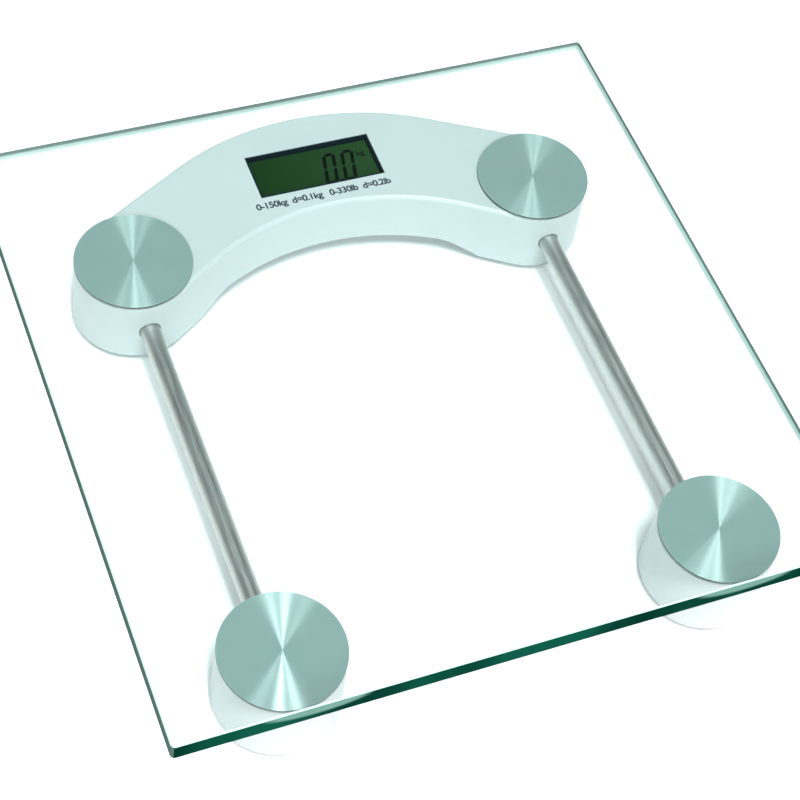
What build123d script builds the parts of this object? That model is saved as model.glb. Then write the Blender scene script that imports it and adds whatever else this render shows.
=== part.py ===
from build123d import *
import math
import os

os.makedirs("parts", exist_ok=True)

# Personal scale: a square tempered-glass platform on four round foot pods.
# Millimetres, +Z up, floor at Z = 0, the display at the rear (+Y), the user at -Y.

# ---- heights above the floor ----
foot_pad_h = 2.0
pod_rim_z = 4.0
belly_z = 10.0
housing_top_z = 36.0
tape_t = 0.3
disc_t = 1.1
glue_t = 0.1
glass_t = 10.0
glass_under_z = housing_top_z + tape_t + disc_t + glue_t

# ---- platform ----
platform_side = 300.0
platform_corner_r = 2.0
platform_arris = 0.6

# ---- foot pods ----
pod_x = 96.0
rear_y = 79.5
front_y = -120.5
pod_top_r = 25.8
pod_flare = 1.0
pod_inner_r = 23.8
top_wall = 2.2
roof_z = housing_top_z - top_wall
pods = {
    "rear_left": (-pod_x, rear_y),
    "rear_right": (pod_x, rear_y),
    "front_left": (-pod_x, front_y),
    "front_right": (pod_x, front_y),
}

# ---- spun discs ----
disc_r = 26.0

# ---- crescent outline ----
outer_arc_r = 130.0
outer_apex_y = 143.0
inner_arc_r = 115.0
inner_apex_y = 88.5
side_wall = 2.2
housing_edge_r = 2.0
inner_wall_gap = 0.3

# ---- display window ----
window_y = 112.3
window_w = 60.0
window_d = 25.0
bezel_t = 0.8
bezel_gap = 0.15
bezel_flange = 2.7
bezel_bottom_z = 32.9
lcd_w = 65.0
lcd_d = 29.0
lcd_t = 2.8
lcd_top_z = 32.8
board_top_z = 23.6
board_t = 1.6
board_w = 76.0
board_d = 36.0

# ---- conduit tubes ----
tube_r = 4.5
tube_bore_r = 3.5
tube_z = 20.0
tube_reach_r = 18.5
socket_r = 6.5
socket_bore_r = 4.55
wall_hole_r = 4.9

# ---- load cell group ----
cell_side = 30.0
cell_t = 2.2
cell_z = 9.6
carrier_side = 34.0
carrier_top_z = 14.0
carrier_post_x = 20.0
carrier_post_r = 2.8

# ---- foot ----
foot_r = 16.5
foot_flange_r = 19.4
pod_base_r = 23.5
pod_base_hole_r = 17.0
pod_base_z = 4.8
pod_base_t = 2.0

# ---- bridge cover, battery and button ----
base_z = 10.6
base_t = 2.2
base_top_z = base_z + base_t
battery_y = 110.0
cover_r = 13.6
cover_hole_r = 14.0
button_x = -27.0
button_y = 100.0
button_r = 4.0
button_hole_r = 4.2


def save(builder, name):
    """Label a finished piece and write its STEP file."""
    builder.part.label = name
    export_step(builder.part, "parts/" + name + ".step")


def polar(centre, radius, angle):
    """Point at a radius and an angle in degrees from a centre."""
    a = math.radians(angle)
    return (centre[0] + radius * math.cos(a), centre[1] + radius * math.sin(a))


def crescent():
    """Crescent outline: two arcs joined round the rear pods by tangent lines."""
    pod = (pod_x, rear_y)
    outer_c = (0, outer_apex_y - outer_arc_r)
    inner_c = (0, inner_apex_y - inner_arc_r)
    dx, dy = pod[0], pod[1] - outer_c[1]
    lean = math.degrees(math.atan2(dy, dx))
    spread = math.degrees(math.acos((outer_arc_r - pod_top_r) / math.hypot(dx, dy)))
    out_a = lean + spread
    dx, dy = pod[0], pod[1] - inner_c[1]
    lean = math.degrees(math.atan2(dy, dx))
    spread = math.degrees(math.acos((inner_arc_r + pod_top_r) / math.hypot(dx, dy)))
    in_a = lean + spread
    with BuildSketch() as outline:
        with BuildLine():
            CenterArc(outer_c, outer_arc_r, out_a, 90 - out_a)
            Line(polar(outer_c, outer_arc_r, out_a), polar(pod, pod_top_r, out_a))
            CenterArc(pod, pod_top_r, out_a, in_a - 180 - out_a)
            Line(polar(pod, -pod_top_r, in_a), polar(inner_c, inner_arc_r, in_a))
            CenterArc(inner_c, inner_arc_r, in_a, 90 - in_a)
            mirror(about=Plane.YZ)
        make_face()
    return outline.sketch


# ---- glass platform ----
with BuildPart() as platform:
    with BuildSketch(Plane.XY.offset(glass_under_z)):
        RectangleRounded(platform_side, platform_side, platform_corner_r)
    extrude(amount=glass_t)
    chamfer(platform.faces().sort_by(Axis.Z)[-1].edges(), length=platform_arris)
    chamfer(platform.faces().sort_by(Axis.Z)[0].edges(), length=platform_arris)
save(platform, "glass_platform")

# ---- crescent display housing with the two rear pods ----
draft = math.degrees(math.atan(pod_flare / (housing_top_z - pod_rim_z)))
bosses_xy = [(-46, 87), (46, 87), (-46, 126), (46, 126)]
board_posts_xy = [(-35.5, 97), (35.5, 97), (-35.5, 127.6), (35.5, 127.6)]
with BuildPart() as housing:
    with BuildSketch(Plane.XY.offset(pod_rim_z)):
        add(crescent())
        offset(amount=pod_flare)
    extrude(amount=housing_top_z - pod_rim_z, taper=draft)
    fillet(housing.faces().sort_by(Axis.Z)[-1].edges(), radius=housing_edge_r)
    # hollow inside
    with BuildSketch(Plane.XY.offset(pod_rim_z)):
        add(crescent())
        offset(amount=-side_wall)
    extrude(amount=roof_z - pod_rim_z, mode=Mode.SUBTRACT)
    # raised belly between the pods
    with BuildSketch(Plane.XZ.offset(-40)):
        with BuildLine():
            rise = Polyline((-68, 0), (-68, pod_rim_z), (-54, belly_z), (54, belly_z),
                            (68, pod_rim_z), (68, 0), close=True)
            fillet(rise.vertices().group_by(Axis.Y)[-1], radius=20)
        make_face()
    extrude(amount=-120, mode=Mode.SUBTRACT)
    # cup walls of the pods toward the bridge
    with BuildSketch(Plane.XY.offset(pod_rim_z)):
        with Locations((-pod_x, rear_y), (pod_x, rear_y)):
            Circle(pod_top_r)
            Circle(pod_inner_r, mode=Mode.SUBTRACT)
    extrude(amount=11)
    # window for the display
    with BuildSketch(Plane.XY.offset(roof_z)):
        with Locations((0, window_y)):
            Rectangle(window_w, window_d)
    extrude(amount=top_wall + 1, mode=Mode.SUBTRACT)
    # screw bosses for the bridge cover and the board
    with BuildSketch(Plane.XY.offset(roof_z + 0.2)):
        with Locations(*bosses_xy):
            Circle(3.2)
    extrude(amount=-(roof_z + 0.2 - base_top_z))
    with BuildSketch(Plane.XY.offset(roof_z + 0.2)):
        with Locations(*board_posts_xy):
            Circle(2.6)
    extrude(amount=-(roof_z + 0.2 - board_top_z))
    with BuildSketch(Plane.XY.offset(base_top_z)):
        with Locations(*bosses_xy):
            Circle(1.4)
    extrude(amount=12, mode=Mode.SUBTRACT)
    with BuildSketch(Plane.XY.offset(board_top_z)):
        with Locations(*board_posts_xy):
            Circle(1.2)
    extrude(amount=7, mode=Mode.SUBTRACT)
    # posts for the load-cell carriers
    with BuildSketch(Plane.XY.offset(roof_z + 0.2)):
        for x in (-pod_x, pod_x):
            with Locations((x - carrier_post_x, rear_y), (x + carrier_post_x, rear_y)):
                Circle(carrier_post_r)
    extrude(amount=-(roof_z + 0.2 - carrier_top_z))
    with BuildSketch(Plane.XY.offset(carrier_top_z)):
        for x in (-pod_x, pod_x):
            with Locations((x - carrier_post_x, rear_y), (x + carrier_post_x, rear_y)):
                Circle(1.3)
    extrude(amount=8, mode=Mode.SUBTRACT)
    # sockets and wall holes for the conduit tubes
    for x in (-pod_x, pod_x):
        with BuildSketch(Plane.XZ.offset(-(rear_y - tube_reach_r + 1))):
            with Locations((x, tube_z)):
                Circle(socket_r)
        extrude(amount=pod_inner_r - tube_reach_r + 2)
        with BuildSketch(Plane.XZ.offset(-(rear_y - tube_reach_r + 2))):
            with Locations((x, tube_z)):
                Circle(socket_bore_r)
        extrude(amount=20, mode=Mode.SUBTRACT)
        with BuildSketch(Plane.XZ.offset(-(rear_y - pod_inner_r - 0.6))):
            with Locations((x, tube_z)):
                Circle(wall_hole_r)
        extrude(amount=12, mode=Mode.SUBTRACT)
save(housing, "display_housing")

# ---- front pod shells ----
for side in ("front_left", "front_right"):
    px, py = pods[side]
    with BuildPart() as shell:
        with BuildSketch(Plane.XY.offset(pod_rim_z)):
            with Locations((px, py)):
                Circle(pod_top_r + pod_flare)
        extrude(amount=housing_top_z - pod_rim_z, taper=draft)
        fillet(shell.faces().sort_by(Axis.Z)[-1].edges(), radius=housing_edge_r)
        with BuildSketch(Plane.XY.offset(pod_rim_z)):
            with Locations((px, py)):
                Circle(pod_inner_r)
        extrude(amount=roof_z - pod_rim_z, mode=Mode.SUBTRACT)
        with BuildSketch(Plane.XY.offset(roof_z + 0.2)):
            with Locations((px - carrier_post_x, py), (px + carrier_post_x, py)):
                Circle(carrier_post_r)
        extrude(amount=-(roof_z + 0.2 - carrier_top_z))
        with BuildSketch(Plane.XY.offset(carrier_top_z)):
            with Locations((px - carrier_post_x, py), (px + carrier_post_x, py)):
                Circle(1.3)
        extrude(amount=8, mode=Mode.SUBTRACT)
        with BuildSketch(Plane.XZ.offset(-(py + pod_inner_r + 1))):
            with Locations((px, tube_z)):
                Circle(socket_r)
        extrude(amount=pod_inner_r - tube_reach_r + 2)
        with BuildSketch(Plane.XZ.offset(-(py + tube_reach_r + 18))):
            with Locations((px, tube_z)):
                Circle(socket_bore_r)
        extrude(amount=20, mode=Mode.SUBTRACT)
        with BuildSketch(Plane.XZ.offset(-(py + pod_inner_r + 12))):
            with Locations((px, tube_z)):
                Circle(wall_hole_r)
        extrude(amount=11.4, mode=Mode.SUBTRACT)
    save(shell, "pod_shell_" + side)

# ---- spun discs, one on each pod ----
for side, (px, py) in pods.items():
    with BuildPart() as disc:
        with BuildSketch(Plane.XY.offset(housing_top_z + tape_t)):
            with Locations((px, py)):
                Circle(disc_r)
        extrude(amount=disc_t)
        chamfer(disc.faces().sort_by(Axis.Z)[0].edges(), length=0.2)
    save(disc, "spun_disc_" + side)

# ---- adhesive tapes under the discs ----
with BuildPart() as tapes:
    with BuildSketch(Plane.XY.offset(housing_top_z)):
        with Locations(*pods.values()):
            Circle(pod_top_r - 3.0)
    extrude(amount=tape_t)
save(tapes, "bond_tapes")

# ---- clear ultraviolet-cured glue between the discs and the glass ----
with BuildPart() as glue:
    with BuildSketch(Plane.XY.offset(glass_under_z - glue_t)):
        with Locations(*pods.values()):
            Circle(disc_r - 0.4)
    extrude(amount=glue_t)
save(glue, "clear_glue")

# ---- conduit tubes ----
for side, px in (("left", -pod_x), ("right", pod_x)):
    with BuildPart() as tube:
        with BuildSketch(Plane.XZ.offset(-(rear_y - tube_reach_r))):
            with Locations((px, tube_z)):
                Circle(tube_r)
                Circle(tube_bore_r, mode=Mode.SUBTRACT)
        extrude(amount=rear_y - front_y - 2 * tube_reach_r)
        chamfer(tube.edges().filter_by(GeomType.CIRCLE).group_by(SortBy.RADIUS)[-1], length=0.3)
    save(tube, "conduit_tube_" + side)

# ---- round base covers of the pods ----
for side, (px, py) in pods.items():
    with BuildPart() as cover:
        with BuildSketch(Plane.XY.offset(pod_base_z)):
            with Locations((px, py)):
                Circle(pod_base_r)
                Circle(pod_base_hole_r, mode=Mode.SUBTRACT)
        extrude(amount=pod_base_t)
        with BuildSketch(Plane.XY.offset(pod_base_z + pod_base_t)):
            with Locations((px, py)):
                Circle(pod_base_r)
                Circle(pod_base_r - 1.1, mode=Mode.SUBTRACT)
        extrude(amount=2.2)
        fillet(cover.faces().sort_by(Axis.Z)[0].edges(), radius=0.5)
    save(cover, "pod_base_" + side)

# ---- load-cell carriers ----
for side, (px, py) in pods.items():
    with BuildPart() as carrier:
        with BuildSketch(Plane.XY.offset(cell_z + 0.2)):
            with Locations((px, py)):
                RectangleRounded(carrier_side, carrier_side, 5)
        extrude(amount=carrier_top_z - cell_z - 0.2)
        with BuildSketch(Plane.XY.offset(cell_z + cell_t)):
            with Locations((px - carrier_post_x, py), (px + carrier_post_x, py)):
                RectangleRounded(6.6, 9, 2.5)
        extrude(amount=carrier_top_z - cell_z - cell_t)
        with BuildSketch(Plane.XY.offset(cell_z)):
            with Locations((px, py)):
                RectangleRounded(cell_side + 0.3, cell_side + 0.3, 3)
        extrude(amount=cell_t, mode=Mode.SUBTRACT)
        with BuildSketch(Plane.XY.offset(cell_z)):
            with Locations((px, py)):
                Circle(11.5)
            with Locations((px - carrier_post_x, py), (px + carrier_post_x, py)):
                Circle(1.5)
        extrude(amount=10, mode=Mode.SUBTRACT)
    save(carrier, "cell_carrier_" + side)

# ---- half-bridge load cells, stamped with an E-shaped slot ----
for side, (px, py) in pods.items():
    with BuildPart() as cell:
        with BuildSketch(Plane.XY.offset(cell_z)):
            with Locations((px, py)):
                RectangleRounded(cell_side, cell_side, 2.8)
            with Locations((px, py - 9.5)):
                RectangleRounded(20, 2, 0.9, mode=Mode.SUBTRACT)
            with Locations((px - 9.5, py), (px + 9.5, py)):
                RectangleRounded(2, 21, 0.9, mode=Mode.SUBTRACT)
            with Locations((px - 5, py + 5), (px + 5, py + 5)):
                RectangleRounded(1.6, 11, 0.7, mode=Mode.SUBTRACT)
        extrude(amount=cell_t)
        with BuildSketch(Plane.XY.offset(cell_z + cell_t)):
            with Locations((px, py + 5)):
                RectangleRounded(6.4, 9, 1)
        extrude(amount=0.6)
    save(cell, "load_cell_" + side)

# ---- carrier screws, two in each pod ----
for side, (px, py) in pods.items():
    with BuildPart() as screws:
        with BuildSketch(Plane.XY.offset(cell_z + cell_t)):
            with Locations((px - carrier_post_x, py), (px + carrier_post_x, py)):
                Circle(1.2)
        extrude(amount=9)
        with BuildSketch(Plane.XY.offset(cell_z + cell_t)):
            with Locations((px - carrier_post_x, py), (px + carrier_post_x, py)):
                Circle(2.3)
        extrude(amount=-1.6)
        with BuildSketch(Plane.XY.offset(cell_z + cell_t - 1.6)):
            with Locations((px - carrier_post_x, py), (px + carrier_post_x, py)):
                Rectangle(2.6, 0.6)
                Rectangle(0.6, 2.6)
        extrude(amount=0.9, mode=Mode.SUBTRACT)
    save(screws, "carrier_screws_" + side)

# ---- feet: a hard cup that slides in the pod base, on a rubber pad ----
for side, (px, py) in pods.items():
    with BuildPart() as cup:
        with BuildSketch(Plane.XY.offset(foot_pad_h)):
            with Locations((px, py)):
                Circle(foot_r)
        extrude(amount=8.2 - foot_pad_h)
        with BuildSketch(Plane.XY.offset(7.2)):
            with Locations((px, py)):
                Circle(foot_flange_r)
        extrude(amount=1.0)
        with BuildSketch(Plane.XY.offset(4.2)):
            with Locations((px, py)):
                Circle(foot_r - 1.8)
                Circle(4.0, mode=Mode.SUBTRACT)
        extrude(amount=6, mode=Mode.SUBTRACT)
        with BuildSketch(Plane.XY.offset(8.0)):
            with Locations((px, py)):
                Circle(4.0)
        extrude(amount=0.7)
        fillet(cup.faces().sort_by(Axis.Z)[0].edges(), radius=0.6)
    save(cup, "foot_cup_" + side)
    with BuildPart() as pad:
        with BuildSketch():
            with Locations((px, py)):
                Circle(foot_r - 1.2)
        extrude(amount=foot_pad_h)
        fillet(pad.faces().sort_by(Axis.Z)[0].edges(), radius=0.6)
        with BuildSketch():
            with Locations((px, py)):
                Circle(10.5)
                Circle(9.3, mode=Mode.SUBTRACT)
                Circle(5.5)
                Circle(4.3, mode=Mode.SUBTRACT)
        extrude(amount=0.6, mode=Mode.SUBTRACT)
    save(pad, "foot_pad_" + side)

# ---- display bezel ----
with BuildPart() as bezel:
    with BuildSketch(Plane.XY.offset(bezel_bottom_z)):
        with Locations((0, window_y)):
            Rectangle(window_w - 2 * bezel_gap, window_d - 2 * bezel_gap)
    extrude(amount=housing_top_z - 0.2 - bezel_bottom_z)
    with BuildSketch(Plane.XY.offset(bezel_bottom_z)):
        with Locations((0, window_y)):
            Rectangle(window_w + 2 * bezel_flange, window_d + 2 * bezel_flange)
    extrude(amount=roof_z - 0.1 - bezel_bottom_z)
    with BuildSketch(Plane.XY.offset(bezel_bottom_z)):
        with Locations((0, window_y)):
            Rectangle(window_w - 2 * bezel_gap - 2 * bezel_t, window_d - 2 * bezel_gap - 2 * bezel_t)
    extrude(amount=5, mode=Mode.SUBTRACT)
save(bezel, "lcd_bezel")

# ---- display glass, its reflector and its holder ----
with BuildPart() as lcd:
    with BuildSketch(Plane.XY.offset(lcd_top_z)):
        with Locations((0, window_y)):
            Rectangle(lcd_w, lcd_d)
    extrude(amount=-1.1)
    with BuildSketch(Plane.XY.offset(lcd_top_z - 1.1)):
        with Locations((0, window_y + 1.7)):
            Rectangle(lcd_w, lcd_d - 3.4)
    extrude(amount=1.1 - lcd_t)
save(lcd, "lcd_panel")

lcd_bottom_z = lcd_top_z - lcd_t
with BuildPart() as reflector:
    with BuildSketch(Plane.XY.offset(lcd_bottom_z)):
        with Locations((0, window_y + 1.2)):
            Rectangle(60, 22)
    extrude(amount=-0.4)
save(reflector, "lcd_reflector")

with BuildPart() as holder:
    with BuildSketch(Plane.XY.offset(board_top_z)):
        with Locations((0, window_y)):
            Rectangle(lcd_w + 0.4, lcd_d + 0.4)
            Rectangle(lcd_w - 4, lcd_d - 2, mode=Mode.SUBTRACT)
    extrude(amount=lcd_bottom_z - board_top_z)
    with BuildSketch(Plane.XY.offset(board_top_z)):
        with Locations((0, window_y - 10.4)):
            Rectangle(lcd_w - 4, 1)
    extrude(amount=lcd_bottom_z - board_top_z - 0.6)
save(holder, "lcd_holder")

with BuildPart() as zebra:
    with BuildSketch(Plane.XY.offset(board_top_z)):
        with Locations((0, window_y - 12.3)):
            Rectangle(lcd_w - 5, 2.0)
    extrude(amount=lcd_bottom_z + 1.7 - board_top_z)
save(zebra, "zebra_strip")

# ---- circuit board and what is on it ----
with BuildPart() as board:
    with BuildSketch(Plane.XY.offset(board_top_z)):
        with Locations((0, window_y)):
            RectangleRounded(board_w, board_d, 1.5)
        with Locations(*board_posts_xy):
            Circle(1.3, mode=Mode.SUBTRACT)
    extrude(amount=-board_t)
save(board, "main_board")

board_under_z = board_top_z - board_t
with BuildPart() as blob:
    with BuildSketch(Plane.XY.offset(board_under_z)):
        with Locations((8, 121)):
            Circle(6.5)
    extrude(amount=-1.5)
    fillet(blob.faces().sort_by(Axis.Z)[0].edges(), radius=1.3)
save(blob, "chip_blob")

with BuildPart() as bits:
    with BuildSketch(Plane.XY.offset(board_under_z)):
        with GridLocations(4.5, 4, 3, 3):
            with Locations((-14, 121)):
                Rectangle(2.0, 1.2)
        with Locations((28, 100), (28, 104)):
            Rectangle(5, 2.4)
    extrude(amount=-0.9)
save(bits, "board_components")

with BuildPart() as tap_switch:
    with BuildSketch(Plane.XY.offset(board_under_z)):
        with Locations((27, 121)):
            Circle(2.6)
    extrude(amount=-4.8)
    fillet(tap_switch.faces().sort_by(Axis.Z)[0].edges(), radius=0.5)
save(tap_switch, "vibration_switch")

with BuildPart() as tact:
    with BuildSketch(Plane.XY.offset(board_under_z)):
        with Locations((button_x, button_y)):
            Rectangle(6, 6)
    extrude(amount=-3.5)
    with BuildSketch(Plane.XY.offset(board_under_z - 3.5)):
        with Locations((button_x, button_y)):
            Circle(1.7)
    extrude(amount=-0.8)
save(tact, "tact_switch")

with BuildPart() as board_screws:
    with BuildSketch(Plane.XY.offset(board_under_z)):
        with Locations(*board_posts_xy):
            Circle(1.1)
    extrude(amount=7)
    with BuildSketch(Plane.XY.offset(board_under_z)):
        with Locations(*board_posts_xy):
            Circle(2.1)
    extrude(amount=-1.4)
save(board_screws, "board_screws")

# ---- bridge cover ----
with BuildPart() as base:
    with BuildSketch(Plane.XY.offset(base_z)):
        add(crescent())
        offset(amount=-side_wall - inner_wall_gap)
        with Locations((-pod_x, rear_y), (pod_x, rear_y)):
            Circle(pod_top_r + inner_wall_gap, mode=Mode.SUBTRACT)
        with Locations((-pod_x - 9, rear_y), (pod_x + 9, rear_y)):
            Rectangle(40, 90, mode=Mode.SUBTRACT)
        with Locations((0, battery_y)):
            Circle(cover_hole_r, mode=Mode.SUBTRACT)
            Rectangle(2 * cover_hole_r + 4, 6, mode=Mode.SUBTRACT)
        with Locations((button_x, button_y)):
            Circle(button_hole_r, mode=Mode.SUBTRACT)
        with Locations(*bosses_xy):
            Circle(1.6, mode=Mode.SUBTRACT)
    extrude(amount=base_t)
    with BuildSketch(Plane.XY.offset(base_z)):
        with Locations(*bosses_xy):
            Circle(2.9)
    extrude(amount=1.2, mode=Mode.SUBTRACT)
save(base, "housing_base")

with BuildPart() as base_screws:
    with BuildSketch(Plane.XY.offset(base_z + 1.2)):
        with Locations(*bosses_xy):
            Circle(1.3)
    extrude(amount=11)
    with BuildSketch(Plane.XY.offset(base_z + 1.2)):
        with Locations(*bosses_xy):
            Circle(2.6)
    extrude(amount=-1.1)
    with BuildSketch(Plane.XY.offset(base_z + 0.1)):
        with Locations(*bosses_xy):
            Rectangle(3, 0.7)
            Rectangle(0.7, 3)
    extrude(amount=0.8, mode=Mode.SUBTRACT)
save(base_screws, "base_screws")

# ---- round battery cover that turns with a coin ----
lug_turn = 50
with BuildPart() as battery_cover:
    with BuildSketch(Plane.XY.offset(base_z)):
        with Locations((0, battery_y)):
            Circle(cover_r)
    extrude(amount=base_t + 0.2)
    with BuildSketch(Plane.XY.offset(base_z)):
        with Locations((0, battery_y)):
            SlotOverall(15, 2)
    extrude(amount=1.1, mode=Mode.SUBTRACT)
    with BuildSketch(Plane.XY.offset(base_top_z + 0.2)):
        with Locations(Location((0, battery_y, 0), (0, 0, 1), lug_turn)):
            Rectangle(2 * cover_r + 3.0, 5)
        with Locations((0, battery_y)):
            Circle(cover_r - 3.0, mode=Mode.SUBTRACT)
    extrude(amount=1.0)
save(battery_cover, "battery_cover")

with BuildPart() as battery_holder:
    with BuildSketch(Plane.XY.offset(base_top_z)):
        with Locations((0, battery_y)):
            Circle(18.4)
            Circle(16.9, mode=Mode.SUBTRACT)
    extrude(amount=1.8)
    with BuildSketch(Plane.XY.offset(base_top_z + 1.8)):
        with Locations((0, battery_y)):
            Circle(18.4)
            Circle(10.4, mode=Mode.SUBTRACT)
    extrude(amount=3.5)
    with BuildSketch(Plane.XY.offset(base_top_z + 5.3)):
        with Locations((0, battery_y)):
            Circle(18.4)
    extrude(amount=0.9)
save(battery_holder, "battery_holder")

with BuildPart() as coin_cell:
    with BuildSketch(Plane.XY.offset(base_top_z + 1.8)):
        with Locations((0, battery_y)):
            Circle(10.0)
    extrude(amount=3.2)
    fillet(coin_cell.faces().sort_by(Axis.Z)[0].edges(), radius=0.5)
save(coin_cell, "coin_cell")

with BuildPart() as contact:
    with BuildSketch(Plane.XY.offset(base_top_z + 5.0)):
        with Locations((0, battery_y)):
            RectangleRounded(14, 4, 1)
    extrude(amount=0.3)
save(contact, "battery_contact")

# ---- unit button, pressed from below ----
with BuildPart() as button:
    with BuildSketch(Plane.XY.offset(belly_z + 0.2)):
        with Locations((button_x, button_y)):
            Circle(button_r)
    extrude(amount=base_top_z + 0.2 - belly_z)
    fillet(button.faces().sort_by(Axis.Z)[0].edges(), radius=0.5)
    with BuildSketch(Plane.XY.offset(base_top_z + 0.2)):
        with Locations((button_x, button_y)):
            Circle(button_r + 1.4)
    extrude(amount=0.8)
    with BuildSketch(Plane.XY.offset(base_top_z + 1.0)):
        with Locations((button_x, button_y)):
            Circle(1.8)
    extrude(amount=board_under_z - 4.3 - 0.9 - base_top_z - 1.0)
save(button, "unit_button")

# ---- wires from the load cells to the board ----
wire_r = 1.2


def wire(name, points):
    """Three-core lead swept along straight runs with the largest arcs that fit."""
    runs = [math.dist(a, b) for a, b in zip(points, points[1:])]
    radii = []
    for i in range(1, len(points) - 1):
        u = Vector(*points[i]) - Vector(*points[i - 1])
        v = Vector(*points[i + 1]) - Vector(*points[i])
        turn = math.radians(u.get_angle(v))
        radii.append(0.45 * min(runs[i - 1], runs[i]) / math.tan(turn / 2))
    print(name, [round(r, 1) for r in radii])
    with BuildPart() as lead:
        with BuildLine() as route:
            FilletPolyline(*points, radius=radii)
        with BuildSketch(Plane(origin=route.line @ 0, z_dir=route.line % 0)):
            Circle(wire_r)
        sweep()
    save(lead, name)


cell_top_z = cell_z + cell_t + 0.6
for side, s in (("left", -1), ("right", 1)):
    wire("cable_rear_" + side, [
        (s * pod_x, rear_y + 7.5, cell_top_z),
        (s * pod_x, rear_y + 7.5, 18.0),
        (s * (pod_x - 8), rear_y + 14, 20.5),
        (s * 68, 103, 21.0),
        (s * 54, 106, 19.5),
        (s * 38.5, 106, 19.3),
    ])
    wire("cable_front_" + side, [
        (s * pod_x, front_y + 6.0, cell_top_z),
        (s * pod_x, front_y + 6.0, 18.4),
        (s * pod_x, front_y + 16, 20.0),
        (s * pod_x, rear_y - 14, 20.1),
        (s * (pod_x - 3), rear_y, 24.0),
        (s * (pod_x - 14), rear_y + 17, 26.0),
        (s * 66, 110, 26.0),
        (s * 54, 114, 22.0),
        (s * 38.5, 115, 19.3),
    ])
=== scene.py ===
import math

import bmesh
import bpy
from mathutils import Matrix, Vector


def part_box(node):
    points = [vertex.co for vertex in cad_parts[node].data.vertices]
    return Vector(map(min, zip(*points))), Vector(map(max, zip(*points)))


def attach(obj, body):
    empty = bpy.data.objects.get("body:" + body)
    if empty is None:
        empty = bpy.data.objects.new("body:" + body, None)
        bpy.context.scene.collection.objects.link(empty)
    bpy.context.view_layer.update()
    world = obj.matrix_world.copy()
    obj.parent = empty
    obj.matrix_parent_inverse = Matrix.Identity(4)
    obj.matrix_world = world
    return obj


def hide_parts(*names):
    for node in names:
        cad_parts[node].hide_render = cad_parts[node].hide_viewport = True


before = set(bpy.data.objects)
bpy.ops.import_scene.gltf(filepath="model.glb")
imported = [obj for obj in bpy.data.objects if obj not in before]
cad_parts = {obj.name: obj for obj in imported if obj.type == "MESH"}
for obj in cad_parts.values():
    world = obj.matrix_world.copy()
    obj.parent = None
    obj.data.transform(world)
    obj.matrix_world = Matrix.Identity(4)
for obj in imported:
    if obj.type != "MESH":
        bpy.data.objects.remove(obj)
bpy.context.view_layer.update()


# ---- glass platform ----
# One square of clear tempered float glass, 10 mm thick, cut, arrissed and polished before
# it is toughened. It is nearly colourless through its face and deep green along its edges,
# where the light has crossed far more of the glass.
MM = 0.001


def colour(hex_code):
    """Turn an sRGB hex code into the linear RGBA that a shader takes."""
    channels = [int(hex_code[i:i + 2], 16) / 255 for i in (1, 3, 5)]
    return [c / 12.92 if c <= 0.04045 else ((c + 0.055) / 1.055) ** 2.4 for c in channels] + [1.0]


def new_material(name):
    """An empty node material."""
    made = bpy.data.materials.new(name)
    made.use_nodes = True
    made.node_tree.nodes.clear()
    return made


def add(mat, kind, **settings):
    """Add one node. A socket given as a value is linked, any other value is set.

    In a name, __ stands for a space and _0, _1 for an input by its place.
    """
    made = mat.node_tree.nodes.new(kind)
    for key, value in settings.items():
        name = key.replace("__", " ")
        if hasattr(made, name):
            setattr(made, name, value)
            continue
        socket = made.inputs[int(name[1:])] if name[0] == "_" else made.inputs[name]
        if isinstance(value, bpy.types.NodeSocket):
            mat.node_tree.links.new(value, socket)
        else:
            socket.default_value = value
    return made


def dress(mat, *nodes):
    """Give CAD nodes a material."""
    for node in nodes:
        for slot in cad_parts[node].material_slots:
            slot.material = mat


GLASS_IOR = 1.52
EDGE_RISE = 0.35    # the face normal rises less than this on an edge
FLAT_RISE = 0.95    # and more than this on the two flat faces
SKIN = 1 * MM       # how deep a point may lie and still belong to an edge

float_glass = new_material("tempered_float_glass")
face = add(float_glass, "ShaderNodeNewGeometry")
lean = add(float_glass, "ShaderNodeSeparateXYZ", Vector=face.outputs["Normal"])
where = add(float_glass, "ShaderNodeSeparateXYZ", Vector=face.outputs["Position"])
upright = add(float_glass, "ShaderNodeMath", operation="ABSOLUTE", _0=lean.outputs["Z"])
is_edge = add(float_glass, "ShaderNodeMath", operation="LESS_THAN",
              _0=upright.outputs[0], _1=EDGE_RISE)
is_flat = add(float_glass, "ShaderNodeMath", operation="GREATER_THAN",
              _0=upright.outputs[0], _1=FLAT_RISE)
# the clear faces: polished glass, with the green of a plain float sheet
SHEET_TINT = "#F6FCFC"
clear = add(float_glass, "ShaderNodeBsdfPrincipled", Base__Color=colour(SHEET_TINT),
            Roughness=0.0, IOR=GLASS_IOR, Transmission__Weight=1.0)
# the polished edge: deep bottle green that comes and goes along its length
EDGE_BAND = 45 * MM
stretch = add(float_glass, "ShaderNodeMapping", Vector=face.outputs["Position"], Scale=(1.0, 1.0, 0.25))
bands = add(float_glass, "ShaderNodeTexNoise", Scale=1 / EDGE_BAND, Detail=2.0, Vector=stretch.outputs[0])
band_step = add(float_glass, "ShaderNodeMapRange", Value=bands.outputs["Fac"],
                From__Min=0.35, From__Max=0.62)
deep = add(float_glass, "ShaderNodeMix", data_type="RGBA", _0=band_step.outputs[0],
           _6=colour("#03221B"), _7=colour("#0A4335"))
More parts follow.
